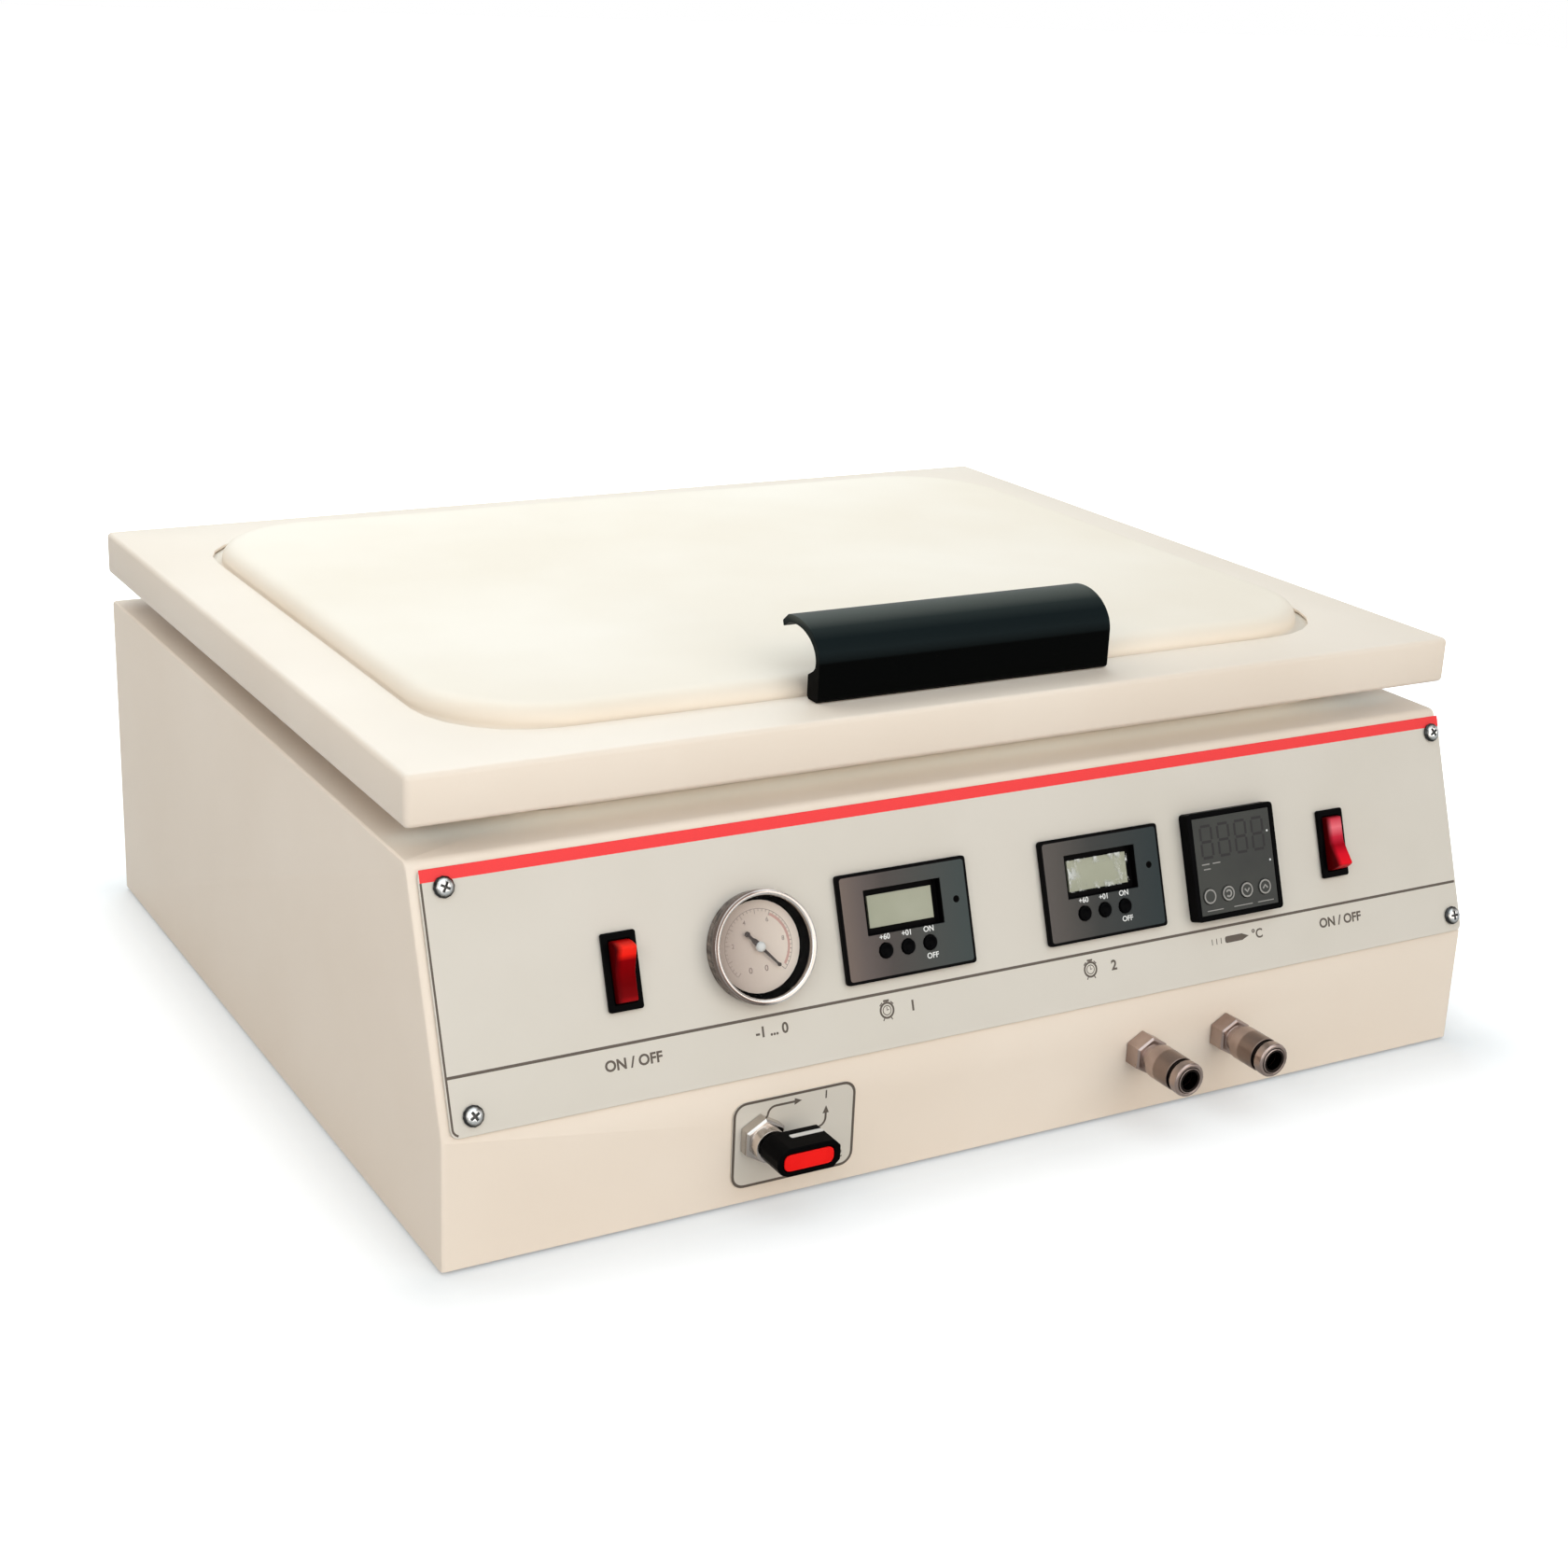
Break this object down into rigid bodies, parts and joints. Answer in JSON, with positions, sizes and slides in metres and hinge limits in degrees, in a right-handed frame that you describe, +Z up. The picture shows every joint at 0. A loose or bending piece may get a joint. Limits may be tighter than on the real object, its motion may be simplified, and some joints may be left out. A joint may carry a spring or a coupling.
{
  "type": "podiatry vacuum press",
  "caption": "Tabletop vacuum press for podiatry: heated table under a hinged membrane lid, sloped control panel with gauge, timers and rocker switches, changeover valve and quick couplers.",
  "frame": {"origin": "on the ground, below the middle of the whole device", "axes": "+X to the right along the control panel, +Y to the back, where the lid is hinged, +Z up"},
  "size_m": [0.5164, 0.4866, 0.2234],
  "materials": {
    "bare_aluminium": "fine brushed aluminium",
    "black_anodised": "satin black anodised extrusion",
    "black_plastic": "satin black moulding",
    "bright_steel": "zinc-plated steel",
    "chrome_plate": "bright plating",
    "clear_lens": "clear flat lens",
    "cream_powder_coat": "satin cream powder coat with a fine orange-peel texture",
    "cream_silicone": "matte cream silicone sheet",
    "dark_window": "glossy near-black filter window",
    "dial_enamel": null,
    "display_glass": "grey-green liquid crystal glass",
    "fascia_film": "satin grey-beige printed film on sheet",
    "foot_rubber": "matte black rubber",
    "heater_silicone": "matte orange-red silicone mat",
    "hose_silicone": "translucent pale hose",
    "nickel_plate": "satin nickel-plated brass",
    "pointer_paint": "matte black",
    "pump_paint": "satin grey painted casting",
    "red_insert": "satin red insert",
    "red_rocker": "glossy translucent red",
    "seal_rubber": "matte pale sponge rubber",
    "timer_plastic": "satin very dark grey moulding"
  },
  "bodies": {
    "base": {"base_plate": "bright_steel", "casing": "cream_powder_coat", "controller_case": "black_plastic", "controller_window": "dark_window", "coupler_body_1": "nickel_plate", "coupler_body_2": "nickel_plate", "fascia": "fascia_film", "fascia_screw_1": "chrome_plate", "fascia_screw_2": "chrome_plate", "fascia_screw_3": "chrome_plate", "fascia_screw_4": "chrome_plate", "foot_1": "foot_rubber", "foot_2": "foot_rubber", "foot_3": "foot_rubber", "foot_4": "foot_rubber", "gauge_case": "chrome_plate", "gauge_dial": "dial_enamel", "gauge_lens": "clear_lens", "heat_switch_bezel": "black_plastic", "heat_timer_case": "timer_plastic", "heat_timer_display": "display_glass", "heater_mat": "heater_silicone", "hinge_base_left": "bright_steel", "hinge_base_right": "bright_steel", "hinge_pin_left": "bright_steel", "hinge_pin_right": "bright_steel", "power_inlet": "black_plastic", "pump_switch_bezel": "black_plastic", "pump_timer_case": "timer_plastic", "pump_timer_display": "display_glass", "rear_panel": "cream_powder_coat", "table_plate": "cream_powder_coat", "table_seal": "seal_rubber", "vacuum_hose": "hose_silicone", "vacuum_pump": "pump_paint", "valve_body": "chrome_plate", "valve_plate": "fascia_film"},
    "lid": {"lid_frame": "cream_powder_coat", "membrane": "cream_silicone", "clamp_ring": "bare_aluminium", "lid_handle": "black_anodised", "hinge_arm_left": "bright_steel", "hinge_arm_right": "bright_steel"},
    "pump_rocker": {"pump_switch_rocker": "red_rocker"},
    "heat_rocker": {"heat_switch_rocker": "red_rocker"},
    "pointer": {"gauge_pointer": "pointer_paint"},
    "lever": {"valve_lever": "black_plastic", "lever_insert": "red_insert"},
    "pump_timer_button_1": {"pump_timer_button_1": "black_plastic"},
    "pump_timer_button_2": {"pump_timer_button_2": "black_plastic"},
    "pump_timer_button_3": {"pump_timer_button_3": "black_plastic"},
    "heat_timer_button_1": {"heat_timer_button_1": "black_plastic"},
    "heat_timer_button_2": {"heat_timer_button_2": "black_plastic"},
    "heat_timer_button_3": {"heat_timer_button_3": "black_plastic"},
    "controller_key_1": {"controller_key_1": "black_plastic"},
    "controller_key_2": {"controller_key_2": "black_plastic"},
    "controller_key_3": {"controller_key_3": "black_plastic"},
    "controller_key_4": {"controller_key_4": "black_plastic"},
    "coupler_sleeve_1": {"coupler_sleeve_1": "nickel_plate"},
    "coupler_sleeve_2": {"coupler_sleeve_2": "nickel_plate"}
  },
  "joints": [
    {"name": "lid_hinge", "type": "hinge", "parent": "base", "child": "lid", "pos_m": [0, 0.23835, 0.1701], "axis": [-1, 0, 0], "range_deg": [0, 95]},
    {"name": "pump_switch", "type": "hinge", "parent": "base", "child": "pump_rocker", "pos_m": [-0.1767, -0.19432, 0.10676], "axis": [-1, 0, 0], "range_deg": [0, 24]},
    {"name": "heat_switch", "type": "hinge", "parent": "base", "child": "heat_rocker", "pos_m": [0.18308, -0.19432, 0.10676], "axis": [1, 0, 0], "range_deg": [0, 24]},
    {"name": "pointer_sweep", "type": "hinge", "parent": "base", "child": "pointer", "pos_m": [-0.11629, -0.19432, 0.10676], "axis": [0, -0.9442, 0.3295], "range_deg": [0, 270]},
    {"name": "valve_turn", "type": "hinge", "parent": "base", "child": "lever", "pos_m": [-0.12092, -0.22015, 0.0307], "axis": [0, -1, 0], "range_deg": [0, 90]},
    {"name": "pump_timer_press_1", "type": "slide", "parent": "base", "child": "pump_timer_button_1", "axis": [0, 0.9442, -0.3295], "range_m": [0, 0.0006], "stiffness_N_per_m": 600, "springref_m": -0.0008},
    {"name": "pump_timer_press_2", "type": "slide", "parent": "base", "child": "pump_timer_button_2", "axis": [0, 0.9442, -0.3295], "range_m": [0, 0.0006], "stiffness_N_per_m": 600, "springref_m": -0.0008},
    {"name": "pump_timer_press_3", "type": "slide", "parent": "base", "child": "pump_timer_button_3", "axis": [0, 0.9442, -0.3295], "range_m": [0, 0.0006], "stiffness_N_per_m": 600, "springref_m": -0.0008},
    {"name": "heat_timer_press_1", "type": "slide", "parent": "base", "child": "heat_timer_button_1", "axis": [0, 0.9442, -0.3295], "range_m": [0, 0.0006], "stiffness_N_per_m": 600, "springref_m": -0.0008},
    {"name": "heat_timer_press_2", "type": "slide", "parent": "base", "child": "heat_timer_button_2", "axis": [0, 0.9442, -0.3295], "range_m": [0, 0.0006], "stiffness_N_per_m": 600, "springref_m": -0.0008},
    {"name": "heat_timer_press_3", "type": "slide", "parent": "base", "child": "heat_timer_button_3", "axis": [0, 0.9442, -0.3295], "range_m": [0, 0.0006], "stiffness_N_per_m": 600, "springref_m": -0.0008},
    {"name": "controller_press_1", "type": "slide", "parent": "base", "child": "controller_key_1", "axis": [0, 0.9442, -0.3295], "range_m": [0, 0.0004], "stiffness_N_per_m": 800, "springref_m": -0.0006},
    {"name": "controller_press_2", "type": "slide", "parent": "base", "child": "controller_key_2", "axis": [0, 0.9442, -0.3295], "range_m": [0, 0.0004], "stiffness_N_per_m": 800, "springref_m": -0.0006},
    {"name": "controller_press_3", "type": "slide", "parent": "base", "child": "controller_key_3", "axis": [0, 0.9442, -0.3295], "range_m": [0, 0.0004], "stiffness_N_per_m": 800, "springref_m": -0.0006},
    {"name": "controller_press_4", "type": "slide", "parent": "base", "child": "controller_key_4", "axis": [0, 0.9442, -0.3295], "range_m": [0, 0.0004], "stiffness_N_per_m": 800, "springref_m": -0.0006},
    {"name": "coupler_release_1", "type": "slide", "parent": "base", "child": "coupler_sleeve_1", "axis": [0, 1, 0], "range_m": [0, 0.0035], "stiffness_N_per_m": 900, "springref_m": -0.002},
    {"name": "coupler_release_2", "type": "slide", "parent": "base", "child": "coupler_sleeve_2", "axis": [0, 1, 0], "range_m": [0, 0.0035], "stiffness_N_per_m": 900, "springref_m": -0.002}
  ]
}
